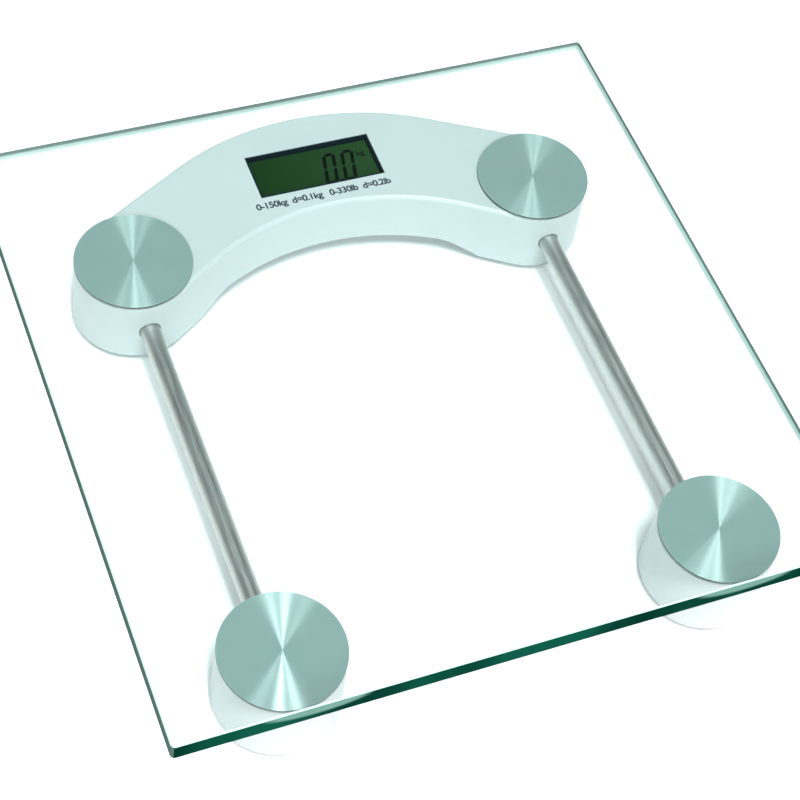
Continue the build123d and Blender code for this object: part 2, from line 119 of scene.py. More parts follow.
# painted light: paler lens-shaped patches painted on the front edge where a pod shines up into it
PATCH_X, PATCH_W, PATCH_H = 92 * MM, 23 * MM, 6.5 * MM
glass_low, glass_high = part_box("glass_platform")
side_x = add(float_glass, "ShaderNodeMath", operation="ABSOLUTE", _0=where.outputs["X"])
patch_x = add(float_glass, "ShaderNodeMath", operation="MULTIPLY_ADD", _0=side_x.outputs[0],
              _1=1 / PATCH_W, _2=-PATCH_X / PATCH_W)
patch_z = add(float_glass, "ShaderNodeMath", operation="MULTIPLY_ADD", _0=where.outputs["Z"],
              _1=1 / PATCH_H, _2=-glass_high.z / PATCH_H)
patch_at = add(float_glass, "ShaderNodeCombineXYZ", X=patch_x.outputs[0], Y=patch_z.outputs[0])
patch_r = add(float_glass, "ShaderNodeVectorMath", operation="LENGTH", _0=patch_at.outputs[0])
painted_pod_glow = add(float_glass, "ShaderNodeMapRange", interpolation_type="SMOOTHSTEP",
           Value=patch_r.outputs["Value"], From__Min=1.05, From__Max=0.75, To__Min=0.0, To__Max=0.8)
front = add(float_glass, "ShaderNodeMath", operation="LESS_THAN",
            _0=where.outputs["Y"], _1=glass_low.y + SKIN)
painted_glow_front = add(float_glass, "ShaderNodeMath", operation="MULTIPLY",
                 _0=painted_pod_glow.outputs[0], _1=front.outputs[0])
# the pale colour of the painted pod glow is mixed into the front edge's green here
front_green = add(float_glass, "ShaderNodeMix", data_type="RGBA", _0=painted_glow_front.outputs[0],
                  _6=deep.outputs[2], _7=colour("#6A9085"))
# the other edges are painted greyer, and painted floor light makes the lower half of the far ones paler,
# where the floor shines up through them
# painted light: a paler colour painted on the lower half of the right and rear edges
painted_floor_light = add(float_glass, "ShaderNodeMapRange", interpolation_type="SMOOTHSTEP", Value=where.outputs["Z"],
            From__Min=glass_low.z + 3.0 * MM, From__Max=glass_low.z + 5.5 * MM, To__Min=1.0, To__Max=0.0)
right_tone = add(float_glass, "ShaderNodeMix", data_type="RGBA", _0=painted_floor_light.outputs[0],
                 _6=colour("#66807A"), _7=colour("#C4D6D1"))
rear_tone = add(float_glass, "ShaderNodeMix", data_type="RGBA", _0=painted_floor_light.outputs[0],
                _6=colour("#6F837D"), _7=colour("#BACBC6"))
edge_tone = front_green.outputs[2]
# painted light: the left, right and rear edges each get their own lighter or darker copy of the edge colour,
# painted for how that side is lit
for axis, side, limit, tone in (("X", "LESS_THAN", glass_low.x + SKIN, colour("#4A605A")),
                                ("X", "GREATER_THAN", glass_high.x - SKIN, right_tone.outputs[2]),
                                ("Y", "GREATER_THAN", glass_high.y - SKIN, rear_tone.outputs[2])):
    on_side = add(float_glass, "ShaderNodeMath", operation=side, _0=where.outputs[axis], _1=limit)
    edge_tone = add(float_glass, "ShaderNodeMix", data_type="RGBA", _0=on_side.outputs[0],
                    _6=edge_tone, _7=tone).outputs[2]
edge = add(float_glass, "ShaderNodeBsdfPrincipled", Base__Color=edge_tone,
           Roughness=0.15, IOR=GLASS_IOR, Specular__IOR__Level=0.0)
# the ground arris: a fine matt mint line
arris = add(float_glass, "ShaderNodeBsdfPrincipled", Base__Color=colour("#A9C8BF"),
            Roughness=0.4, IOR=GLASS_IOR, Specular__IOR__Level=0.2)
flat_or_arris = add(float_glass, "ShaderNodeMixShader", _0=is_flat.outputs[0],
                    _1=arris.outputs[0], _2=clear.outputs[0])
glass_look = add(float_glass, "ShaderNodeMixShader", _0=is_edge.outputs[0],
                 _1=flat_or_arris.outputs[0], _2=edge.outputs[0])
# light on its way to and from the parts below goes straight through the flat faces, as it
# does through a real sheet, while the eye sees the faces bend and mirror it
ray = add(float_glass, "ShaderNodeLightPath")
from_dull = add(float_glass, "ShaderNodeMath", operation="MAXIMUM",
                _0=ray.outputs["Is Shadow Ray"], _1=ray.outputs["Is Diffuse Ray"])
off_metal = add(float_glass, "ShaderNodeMath", operation="SUBTRACT", use_clamp=True,
                _0=ray.outputs["Is Glossy Ray"], _1=ray.outputs["Is Transmission Ray"])
not_seen = add(float_glass, "ShaderNodeMath", operation="MAXIMUM",
               _0=from_dull.outputs[0], _1=off_metal.outputs[0])
lit_through = add(float_glass, "ShaderNodeMath", operation="MULTIPLY",
                  _0=not_seen.outputs[0], _1=is_flat.outputs[0])
passing = add(float_glass, "ShaderNodeBsdfTransparent", Color=colour(SHEET_TINT))
glass_out = add(float_glass, "ShaderNodeMixShader", _0=lit_through.outputs[0],
                _1=glass_look.outputs[0], _2=passing.outputs[0])
add(float_glass, "ShaderNodeOutputMaterial", Surface=glass_out.outputs[0])
dress(float_glass, "glass_platform")


# ---- clear glue under the glass ----
# A film of ultraviolet-cured adhesive between each disc and the glass, water clear once it
# has set. It is squeezed out into a round with a soft rim, and stops short of both faces here.
GLUE_FLOW = 12 * MM
cured_glue = new_material("clear_uv_glue")    # gives the eye next to nothing, so the metal shows
flow = add(cured_glue, "ShaderNodeTexNoise", Scale=1 / GLUE_FLOW,
           Vector=add(cured_glue, "ShaderNodeTexCoord").outputs["Object"])
tint = add(cured_glue, "ShaderNodeMix", data_type="RGBA", _0=flow.outputs["Fac"],
           _6=colour("#FBFDFD"), _7=colour("#FFFFFF"))
film = add(cured_glue, "ShaderNodeBsdfTransparent", Color=tint.outputs[2])
add(cured_glue, "ShaderNodeOutputMaterial", Surface=film.outputs[0])

PODS = ("rear_left", "rear_right", "front_left", "front_right")
glue_low, glue_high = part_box("clear_glue")
FILM_R = 25.4 * MM
FILM_GAP = 0.02 * MM
FILM_SIDES = 72
under, over = glue_low.z + FILM_GAP, glue_high.z - FILM_GAP
# share of the film's radius and level, from the middle of the underside to that of the top
FILM_SECTION = ((0.3, under), (0.999, under), (1.0, (under + over) / 2), (0.999, over), (0.3, over))
glue_mesh = bmesh.new()
for pod in PODS:
    disc_low, disc_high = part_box("spun_disc_" + pod)
    centre = (disc_low + disc_high) / 2
    hoops = []
    for share, level in FILM_SECTION:
        hoop = []
        for i in range(FILM_SIDES):
            turn = 2 * math.pi * i / FILM_SIDES
            hoop.append(glue_mesh.verts.new((centre.x + FILM_R * share * math.cos(turn),
                                             centre.y + FILM_R * share * math.sin(turn), level)))
        hoops.append(hoop)
    for inner, outer in zip(hoops, hoops[1:]):
        for i in range(FILM_SIDES):
            j = (i + 1) % FILM_SIDES
            glue_mesh.faces.new((inner[i], outer[i], outer[j], inner[j]))
    glue_mesh.faces.new(hoops[0])
    glue_mesh.faces.new(hoops[-1][::-1])
bmesh.ops.recalc_face_normals(glue_mesh, faces=glue_mesh.faces)
glue_rounds = bpy.data.meshes.new("glue_rounds")
glue_mesh.to_mesh(glue_rounds)
glue_mesh.free()
glue_rounds.materials.append(cured_glue)
glue_film = bpy.data.objects.new("glue_film", glue_rounds)
bpy.context.scene.collection.objects.link(glue_film)
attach(glue_film, "scale_body")
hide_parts("clear_glue")
dress(cured_glue, "clear_glue")


# ---- spun discs ----
# Thin aluminium rounds, spun against a diamond tool so that fine rings run round the centre.
# The rings stretch every highlight into bright fans that meet at the middle.
spun_aluminium = new_material("spun_aluminium")    # fine rings that turn each lamp into a fan
spot = add(spun_aluminium, "ShaderNodeTexCoord")
middle = add(spun_aluminium, "ShaderNodeVectorMath", operation="SUBTRACT",
             _0=spot.outputs["Generated"], _1=(0.5, 0.5, 0.5))
flat_only = add(spun_aluminium, "ShaderNodeVectorMath", operation="MULTIPLY",
                _0=middle.outputs[0], _1=(1.0, 1.0, 0.0))
reach = add(spun_aluminium, "ShaderNodeVectorMath", operation="LENGTH", _0=flat_only.outputs[0])
# real rings are 0.1 mm apart, drawn here at 0.45 mm so that they show
DISC_WIDTH = 52 * MM
RING_PITCH = 0.45 * MM
ring_count = add(spun_aluminium, "ShaderNodeMath", operation="MULTIPLY",
                 _0=reach.outputs["Value"], _1=DISC_WIDTH / RING_PITCH * 2 * math.pi)
ring_wave = add(spun_aluminium, "ShaderNodeMath", operation="SINE", _0=ring_count.outputs[0])
ring_grey = add(spun_aluminium, "ShaderNodeMapRange", Value=ring_wave.outputs[0],
                From__Min=-1.0, From__Max=1.0, To__Min=0.46, To__Max=0.54)
metal = add(spun_aluminium, "ShaderNodeMix", data_type="RGBA", _0=ring_grey.outputs[0],
            _6=colour("#BBDCD6"), _7=colour("#C8E5E0"))
# the sheared rim is painted dark: painted shade on the disc's upright side
disc_way = add(spun_aluminium, "ShaderNodeSeparateXYZ",
               Vector=add(spun_aluminium, "ShaderNodeNewGeometry").outputs["Normal"])
RIM_SHADE = "#4E5F5C"
on_top = add(spun_aluminium, "ShaderNodeMath", operation="GREATER_THAN", _0=disc_way.outputs["Z"], _1=0.6)
disc_metal = add(spun_aluminium, "ShaderNodeMix", data_type="RGBA", _0=on_top.outputs[0],
                 _6=colour(RIM_SHADE), _7=metal.outputs[2])
around = add(spun_aluminium, "ShaderNodeTangent", direction_type="RADIAL", axis="Z")
# the painted shade of the rim is given to the ringed shine as well
bright_metal = add(spun_aluminium, "ShaderNodeMix", data_type="RGBA", _0=on_top.outputs[0],
                   _6=colour(RIM_SHADE), _7=colour("#D5DFDD"))
rings = add(spun_aluminium, "ShaderNodeBsdfPrincipled", Base__Color=bright_metal.outputs[2], Metallic=1.0,
            Roughness=0.22, Anisotropic=1.0, Anisotropic__Rotation=0.25, Tangent=around.outputs[0])
# the land between the rings is duller and shines the same from every side
LAND_SHARE = 0.36
land = add(spun_aluminium, "ShaderNodeBsdfPrincipled", Base__Color=disc_metal.outputs[2], Metallic=0.1,
           Roughness=0.6)
disc_shine = add(spun_aluminium, "ShaderNodeMixShader", _0=LAND_SHARE,
                 _1=rings.outputs[0], _2=land.outputs[0])
add(spun_aluminium, "ShaderNodeOutputMaterial", Surface=disc_shine.outputs[0])
dress(spun_aluminium, *["spun_disc_" + pod for pod in PODS])


# ---- adhesive tapes ----
# Rounds of grey closed-cell polyethylene foam tape, die-cut and coated on both sides, that
# hold each disc on its pod. Only their matt grey rim shows, as a fine line under the disc.
FOAM_CELL = 0.4 * MM
foam_tape = new_material("foam_tape")    # dull grey, pitted by the cut cells
cells = add(foam_tape, "ShaderNodeTexVoronoi", Scale=1 / FOAM_CELL,
            Vector=add(foam_tape, "ShaderNodeTexCoord").outputs["Object"])
foam_dents = add(foam_tape, "ShaderNodeBump", Strength=0.3, Distance=0.05 * MM,
                 Height=cells.outputs["Distance"])
foam = add(foam_tape, "ShaderNodeBsdfPrincipled", Base__Color=colour("#8E9795"), Roughness=0.9,
           IOR=1.49, Normal=foam_dents.outputs[0])
add(foam_tape, "ShaderNodeOutputMaterial", Surface=foam.outputs[0])
dress(foam_tape, "bond_tapes")


# ---- crescent housing and front pods ----
# Injection-moulded ABS, a cool white that the glass turns pale aqua. The crescent carries
# the display and both rear pods in one moulding, and the front pods are two cups of the
# same plastic.
MELT_CLOUD = 45 * MM
SKIN_GRAIN = 0.5 * MM
aqua_abs = new_material("aqua_moulded_abs")    # fine satin skin with a soft, wide shine
skin_at = add(aqua_abs, "ShaderNodeTexCoord")
mottle = add(aqua_abs, "ShaderNodeTexNoise", Scale=1 / MELT_CLOUD, Detail=3.0,
             Vector=skin_at.outputs["Object"])
aqua = add(aqua_abs, "ShaderNodeMix", data_type="RGBA", _0=mottle.outputs["Fac"],
           _6=colour("#AFB8B8"), _7=colour("#B6BEBE"))
skin = add(aqua_abs, "ShaderNodeTexNoise", Scale=1 / SKIN_GRAIN, Detail=4.0,
           Vector=skin_at.outputs["Object"])
skin_bump = add(aqua_abs, "ShaderNodeBump", Strength=0.08, Distance=0.02 * MM, Height=skin.outputs["Fac"])
satin = add(aqua_abs, "ShaderNodeMapRange", Value=skin.outputs["Fac"], To__Min=0.30, To__Max=0.42)
aqua_plastic = add(aqua_abs, "ShaderNodeBsdfPrincipled", Base__Color=aqua.outputs[2],
                   Roughness=satin.outputs[0], IOR=1.53, Specular__IOR__Level=0.4,
                   Normal=skin_bump.outputs[0])
add(aqua_abs, "ShaderNodeOutputMaterial", Surface=aqua_plastic.outputs[0])
dress(aqua_abs, "display_housing", "pod_shell_front_left", "pod_shell_front_right")


# ---- capacity print ----
# One line of numbers and units in blue-black ink, pad-printed on the housing in front of the
# window. It lies 0.01 mm thick on the moulded skin.
housing_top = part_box("display_housing")[1].z
PRINT_SIZE = 4.9 * MM
PRINT_X, PRINT_Y = -1.6 * MM, 93.4 * MM
INK_T = 0.01 * MM
print_ink = new_material("pad_printed_ink")    # flat and dark, a little uneven where the pad lifted
ink_edge = add(print_ink, "ShaderNodeTexNoise", Scale=1 / (0.3 * MM),
               Vector=add(print_ink, "ShaderNodeTexCoord").outputs["Object"])
ink_tone = add(print_ink, "ShaderNodeMix", data_type="RGBA", _0=ink_edge.outputs["Fac"],
               _6=colour("#141C28"), _7=colour("#202A36"))
ink = add(print_ink, "ShaderNodeBsdfPrincipled", Base__Color=ink_tone.outputs[2], Roughness=0.55, IOR=1.5)
add(print_ink, "ShaderNodeOutputMaterial", Surface=ink.outputs[0])
line = bpy.data.curves.new("capacity_print", "FONT")
line.body = "0-150kg  d=0.1kg   0-330lb  d=0.2lb"
line.align_x = "CENTER"
line.size = PRINT_SIZE
line.space_character = 0.93
line.offset = 0.13 * MM
line.extrude = INK_T
line.materials.append(print_ink)
capacity_print = bpy.data.objects.new("capacity_print", line)
bpy.context.scene.collection.objects.link(capacity_print)
capacity_print.location = (PRINT_X, PRINT_Y, housing_top + 1.5 * INK_T)
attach(capacity_print, "scale_body")


# ---- display ----
# A dark lined window with a liquid-crystal glass 3 mm down. The glass sits on a plastic
# holder, with a foil reflector and a striped rubber strip that joins it to the board.
window_lining = new_material("dark_window_lining")    # matt blue-black ABS, no shine
lining_at = add(window_lining, "ShaderNodeTexCoord")
lining_grain = add(window_lining, "ShaderNodeTexNoise", Scale=1 / (0.6 * MM),
                   Vector=lining_at.outputs["Object"])
lining_tone = add(window_lining, "ShaderNodeMix", data_type="RGBA", _0=lining_grain.outputs["Fac"],
                  _6=colour("#02161F"), _7=colour("#041D26"))
lining = add(window_lining, "ShaderNodeBsdfPrincipled", Base__Color=lining_tone.outputs[2],
             Roughness=0.5, IOR=1.53, Specular__IOR__Level=0.15)
add(window_lining, "ShaderNodeOutputMaterial", Surface=lining.outputs[0])
dress(window_lining, "lcd_bezel")

lcd_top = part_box("lcd_panel")[1].z
display_glass = new_material("liquid_crystal_glass")    # dim green, finely speckled, with painted light that makes it paler to the right
panel_at = add(display_glass, "ShaderNodeTexCoord")
panel_xyz = add(display_glass, "ShaderNodeSeparateXYZ", Vector=panel_at.outputs["Generated"])
panel_grain = add(display_glass, "ShaderNodeTexNoise", Scale=1 / (0.25 * MM), Detail=2.0,
                  Vector=panel_at.outputs["Object"])
# painted light: the panel is painted paler towards the right
painted_light_ramp = add(display_glass, "ShaderNodeMapRange", Value=panel_xyz.outputs["X"], To__Min=0.0, To__Max=0.9)
mixed = add(display_glass, "ShaderNodeMath", operation="MULTIPLY_ADD", _0=panel_grain.outputs["Fac"],
            _1=0.25, _2=painted_light_ramp.outputs[0])
panel_green = add(display_glass, "ShaderNodeMix", data_type="RGBA", _0=mixed.outputs[0],
                  _6=colour("#0A2C0C"), _7=colour("#203E22"))
panel = add(display_glass, "ShaderNodeBsdfPrincipled", Base__Color=panel_green.outputs[2],
            Roughness=0.22, IOR=1.5, Specular__IOR__Level=0.2)
add(display_glass, "ShaderNodeOutputMaterial", Surface=panel.outputs[0])
dress(display_glass, "lcd_panel")

# seven-segment digits: thin bars of dark crystal with mitred ends, leaning a little
DIGIT_H = 18.0 * MM
DIGIT_W = 6.4 * MM
BAR = 1.75 * MM
LEAN = math.tan(math.radians(12))
DIGIT_Z = lcd_top + 0.02 * MM
BAR_T = 0.02 * MM
BAR_GAP = 0.15 * MM
# the six bars of a nought, each from end to end in shares of the digit's width and height
NOUGHT = (((0, 1), (1, 1)), ((0, 0), (1, 0)), ((0, 0.5), (0, 1)),
          ((1, 0.5), (1, 1)), ((0, 0), (0, 0.5)), ((1, 0), (1, 0.5)))


def prism(mesh, corners, low_z, height):
    """A flat-topped solid on a closed outline."""
    under = [mesh.verts.new((x, y, low_z)) for x, y in corners]
    over = [mesh.verts.new((x, y, low_z + height)) for x, y in corners]
    mesh.faces.new(over)
    mesh.faces.new(under[::-1])
    for i in range(len(corners)):
        j = (i + 1) % len(corners)
        mesh.faces.new((under[i], under[j], over[j], over[i]))


def segment_bar(start, end, left, bottom):
    """Corner points of one mitred bar of a digit."""
    ax, ay = start[0] * (DIGIT_W - BAR) + BAR / 2, start[1] * (DIGIT_H - BAR) + BAR / 2
    bx, by = end[0] * (DIGIT_W - BAR) + BAR / 2, end[1] * (DIGIT_H - BAR) + BAR / 2
    along = Vector((bx - ax, by - ay)).normalized()
    across = Vector((-along.y, along.x)) * BAR / 2
    gap = along * BAR_GAP
    a, b = Vector((ax, ay)) + gap, Vector((bx, by)) - gap
    tip = along * BAR / 2
    points = [a, a + tip - across, b - tip - across, b, b - tip + across, a + tip + across]
    return [(left + p.x + p.y * LEAN, bottom + p.y) for p in points]


crystal = new_material("dark_crystal_segment")    # near black where the crystal is switched on
crystal_grain = add(crystal, "ShaderNodeTexNoise", Scale=1 / (0.3 * MM),
                    Vector=add(crystal, "ShaderNodeTexCoord").outputs["Object"])
crystal_tone = add(crystal, "ShaderNodeMix", data_type="RGBA", _0=crystal_grain.outputs["Fac"],
                   _6=colour("#010A05"), _7=colour("#021008"))
crystal_face = add(crystal, "ShaderNodeBsdfPrincipled", Base__Color=crystal_tone.outputs[2],
                   Roughness=0.3, IOR=1.5, Specular__IOR__Level=0.1)
add(crystal, "ShaderNodeOutputMaterial", Surface=crystal_face.outputs[0])

WINDOW_FRONT = 99.8 * MM
DIGIT_Y = WINDOW_FRONT + 2.4 * MM
digit_mesh = bmesh.new()
for left in (2.5 * MM, 11.5 * MM):
    for start, end in NOUGHT:
        prism(digit_mesh, segment_bar(start, end, left, DIGIT_Y), DIGIT_Z, BAR_T)
point_x, point_y = 9.6 * MM, DIGIT_Y
prism(digit_mesh, [(point_x, point_y), (point_x + BAR, point_y),
                   (point_x + BAR, point_y + BAR), (point_x, point_y + BAR)], DIGIT_Z, BAR_T)
digits = bpy.data.meshes.new("display_digits")
digit_mesh.to_mesh(digits)
digit_mesh.free()
digits.materials.append(crystal)
display_digits = bpy.data.objects.new("display_digits", digits)
bpy.context.scene.collection.objects.link(display_digits)
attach(display_digits, "scale_body")

unit = bpy.data.curves.new("display_unit", "FONT")
unit.body = "kg"
unit.size = 4.2 * MM
unit.offset = 0.05 * MM
unit.extrude = 0.01 * MM
unit.materials.append(crystal)
display_unit = bpy.data.objects.new("display_unit", unit)
bpy.context.scene.collection.objects.link(display_unit)
display_unit.location = (22.2 * MM, WINDOW_FRONT + 15.6 * MM, DIGIT_Z + 0.01 * MM)
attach(display_unit, "scale_body")

nylon = new_material("natural_nylon")    # milky off-white that lets a little light in
nylon_grain = add(nylon, "ShaderNodeTexNoise", Scale=1 / (1.2 * MM),
                  Vector=add(nylon, "ShaderNodeTexCoord").outputs["Object"])
nylon_tone = add(nylon, "ShaderNodeMix", data_type="RGBA", _0=nylon_grain.outputs["Fac"],
                 _6=colour("#E2E0D6"), _7=colour("#EDEBE3"))
nylon_face = add(nylon, "ShaderNodeBsdfPrincipled", Base__Color=nylon_tone.outputs[2], Roughness=0.5,
                 IOR=1.53, Subsurface__Weight=0.1, Subsurface__Scale=1.0 * MM)
add(nylon, "ShaderNodeOutputMaterial", Surface=nylon_face.outputs[0])
dress(nylon, "lcd_holder", "battery_holder")

foil = new_material("matt_aluminium_foil")    # rolled matt side, a soft even shine
foil_grain = add(foil, "ShaderNodeTexNoise", Scale=1 / (0.2 * MM),
                 Vector=add(foil, "ShaderNodeTexCoord").outputs["Object"])
foil_rough = add(foil, "ShaderNodeMapRange", Value=foil_grain.outputs["Fac"], To__Min=0.35, To__Max=0.6)
foil_face = add(foil, "ShaderNodeBsdfPrincipled", Base__Color=colour("#C9CDC4"), Metallic=1.0,
                Roughness=foil_rough.outputs[0])
add(foil, "ShaderNodeOutputMaterial", Surface=foil_face.outputs[0])
dress(foil, "lcd_reflector")

# the strip is slices of carbon-filled and plain silicone, cut across: black and pink stripes
STRIPE_PAIR = 0.5 * MM
WAVE_RATE = 20    # a wave texture's bands come 2 pi / (20 x scale) apart
striped_silicone = new_material("striped_silicone")
stripes = add(striped_silicone, "ShaderNodeTexWave", Scale=2 * math.pi / (WAVE_RATE * STRIPE_PAIR),
              bands_direction="X", Vector=add(striped_silicone, "ShaderNodeTexCoord").outputs["Object"])
stripe_tone = add(striped_silicone, "ShaderNodeMix", data_type="RGBA", _0=stripes.outputs["Fac"],
                  _6=colour("#1B1B1C"), _7=colour("#C98F86"))
silicone_face = add(striped_silicone, "ShaderNodeBsdfPrincipled", Base__Color=stripe_tone.outputs[2],
                    Roughness=0.6, IOR=1.41)
add(striped_silicone, "ShaderNodeOutputMaterial", Surface=silicone_face.outputs[0])
dress(striped_silicone, "zebra_strip")


# ---- circuit board ----
# A green solder-masked fibreglass board under the display, with a blob of black epoxy over
# the chip, small ceramic parts, the button's switch and the tap-on switch.
TRACK_PITCH = 4 * MM
solder_mask = new_material("green_solder_mask")    # glossy green, paler over the copper tracks
tracks = add(solder_mask, "ShaderNodeTexVoronoi", feature="DISTANCE_TO_EDGE", Scale=1 / TRACK_PITCH,
             Vector=add(solder_mask, "ShaderNodeTexCoord").outputs["Object"])
track_line = add(solder_mask, "ShaderNodeMath", operation="LESS_THAN",
                 _0=tracks.outputs["Distance"], _1=0.06)
mask_tone = add(solder_mask, "ShaderNodeMix", data_type="RGBA", _0=track_line.outputs[0],
                _6=colour("#1C5A33"), _7=colour("#2F7A48"))
mask_face = add(solder_mask, "ShaderNodeBsdfPrincipled", Base__Color=mask_tone.outputs[2],
                Roughness=0.3, IOR=1.55)
add(solder_mask, "ShaderNodeOutputMaterial", Surface=mask_face.outputs[0])
dress(solder_mask, "main_board")

black_epoxy = new_material("black_epoxy")    # poured and set, smooth and nearly black
epoxy_grain = add(black_epoxy, "ShaderNodeTexNoise", Scale=1 / (0.8 * MM),
                  Vector=add(black_epoxy, "ShaderNodeTexCoord").outputs["Object"])
epoxy_tone = add(black_epoxy, "ShaderNodeMix", data_type="RGBA", _0=epoxy_grain.outputs["Fac"],
                 _6=colour("#121212"), _7=colour("#1E1E1F"))
epoxy_face = add(black_epoxy, "ShaderNodeBsdfPrincipled", Base__Color=epoxy_tone.outputs[2],
                 Roughness=0.35, IOR=1.55)
add(black_epoxy, "ShaderNodeOutputMaterial", Surface=epoxy_face.outputs[0])
dress(black_epoxy, "chip_blob", "board_components", "tact_switch")

nickel = new_material("nickel_plate")    # rolled steel under bright plate, warm and clear
nickel_grain = add(nickel, "ShaderNodeTexNoise", Scale=1 / (1.5 * MM), Detail=4.0,
                   Vector=add(nickel, "ShaderNodeTexCoord").outputs["Object"])
nickel_rough = add(nickel, "ShaderNodeMapRange", Value=nickel_grain.outputs["Fac"],
                   To__Min=0.15, To__Max=0.35)
nickel_face = add(nickel, "ShaderNodeBsdfPrincipled", Base__Color=colour("#C8C5BC"), Metallic=1.0,
                  Roughness=nickel_rough.outputs[0])
add(nickel, "ShaderNodeOutputMaterial", Surface=nickel_face.outputs[0])
dress(nickel, "vibration_switch", "coin_cell", "battery_contact")


# ---- conduit tubes ----
# Two thin-walled stainless tubes, drawn and satin polished along their length. They tie the
# rear pods to the front pods and carry the front load cells' leads.
# real polishing lines are near 0.1 mm apart, drawn here at 0.35 mm so that they show
POLISH_PITCH = 0.35 * MM
ALONG_SHARE = 0.02    # the lines run fifty times as far along the tube as across it
satin_stainless = new_material("satin_stainless_tube")    # a long, soft streak of light down the tube
tube_at = add(satin_stainless, "ShaderNodeTexCoord")
stretched = add(satin_stainless, "ShaderNodeMapping", Vector=tube_at.outputs["Object"],
                Scale=(1.0, ALONG_SHARE, 1.0))
grain = add(satin_stainless, "ShaderNodeTexNoise", Scale=1 / POLISH_PITCH, Detail=5.0,
            Vector=stretched.outputs[0])
polish = add(satin_stainless, "ShaderNodeMapRange", Value=grain.outputs["Fac"],
             From__Min=0.3, From__Max=0.7, To__Min=0.38, To__Max=0.56)
steel_tone = add(satin_stainless, "ShaderNodeMix", data_type="RGBA", _0=grain.outputs["Fac"],
                 _6=colour("#A9ACA8"), _7=colour("#CACCC8"))
grain_bump = add(satin_stainless, "ShaderNodeBump", Strength=0.15, Distance=0.02 * MM,
                 Height=grain.outputs["Fac"])
steel_face = add(satin_stainless, "ShaderNodeBsdfPrincipled", Base__Color=steel_tone.outputs[2], Metallic=1.0,
                 Roughness=polish.outputs[0], Normal=grain_bump.outputs[0])
add(satin_stainless, "ShaderNodeOutputMaterial", Surface=steel_face.outputs[0])
dress(satin_stainless, "conduit_tube_left", "conduit_tube_right")


# ---- covers, battery lid and unit button ----
# Grey ABS with a spark-eroded skin, dull to the eye. The covers close the pods and the
# bridge, the lid turns out with a coin, and the darker button is pressed from below.
SPARK_PIT = 0.35 * MM
grey_abs = new_material("grey_textured_abs")    # dull grey with a fine sandy bump
pits_at = add(grey_abs, "ShaderNodeTexCoord")
pits = add(grey_abs, "ShaderNodeTexNoise", Scale=1 / SPARK_PIT, Detail=5.0,
           Vector=pits_at.outputs["Object"])
grey_tone = add(grey_abs, "ShaderNodeMix", data_type="RGBA", _0=pits.outputs["Fac"],
                _6=colour("#AEB6B7"), _7=colour("#C2C9CA"))
pit_bump = add(grey_abs, "ShaderNodeBump", Strength=0.35, Distance=0.04 * MM, Height=pits.outputs["Fac"])
grey_face = add(grey_abs, "ShaderNodeBsdfPrincipled", Base__Color=grey_tone.outputs[2], Roughness=0.6,
                IOR=1.53, Normal=pit_bump.outputs[0])
add(grey_abs, "ShaderNodeOutputMaterial", Surface=grey_face.outputs[0])
dress(grey_abs, "housing_base", "battery_cover", *["pod_base_" + pod for pod in PODS])

button_abs = new_material("dark_button_abs")    # moulded slate grey, a little smoother
button_grain = add(button_abs, "ShaderNodeTexNoise", Scale=1 / (0.4 * MM),
                   Vector=add(button_abs, "ShaderNodeTexCoord").outputs["Object"])
button_tone = add(button_abs, "ShaderNodeMix", data_type="RGBA", _0=button_grain.outputs["Fac"],
                  _6=colour("#3B4348"), _7=colour("#485156"))
button_bump = add(button_abs, "ShaderNodeBump", Strength=0.2, Distance=0.03 * MM,
                  Height=button_grain.outputs["Fac"])
button_face = add(button_abs, "ShaderNodeBsdfPrincipled", Base__Color=button_tone.outputs[2],
                  Roughness=0.45, IOR=1.53, Normal=button_bump.outputs[0])
add(button_abs, "ShaderNodeOutputMaterial", Surface=button_face.outputs[0])
dress(button_abs, "unit_button")


# ---- load cells, carriers and screws ----
# Load cells of stamped and zinc-plated spring steel, held in moulded nylon carriers.
# Small pan-head screws of plated steel fix the carriers, the board and the bridge cover.
dress(nylon, *["cell_carrier_" + pod for pod in PODS])

SPANGLE = 2.0 * MM
zinc_steel = new_material("zinc_plated_steel")    # cool grey plate with soft cloudy spangles
zinc_at = add(zinc_steel, "ShaderNodeTexCoord")
spangle = add(zinc_steel, "ShaderNodeTexNoise", Scale=1 / SPANGLE, Detail=5.0,
              Vector=zinc_at.outputs["Object"])
zinc_tone = add(zinc_steel, "ShaderNodeMix", data_type="RGBA", _0=spangle.outputs["Fac"],
                _6=colour("#9A9C9B"), _7=colour("#BDBFBC"))
zinc_rough = add(zinc_steel, "ShaderNodeMapRange", Value=spangle.outputs["Fac"], To__Min=0.3, To__Max=0.5)
zinc_face = add(zinc_steel, "ShaderNodeBsdfPrincipled", Base__Color=zinc_tone.outputs[2], Metallic=1.0,
                Roughness=zinc_rough.outputs[0])
add(zinc_steel, "ShaderNodeOutputMaterial", Surface=zinc_face.outputs[0])
dress(zinc_steel, "base_screws", "board_screws", *["carrier_screws_" + pod for pod in PODS],
      *["load_cell_" + pod for pod in PODS])


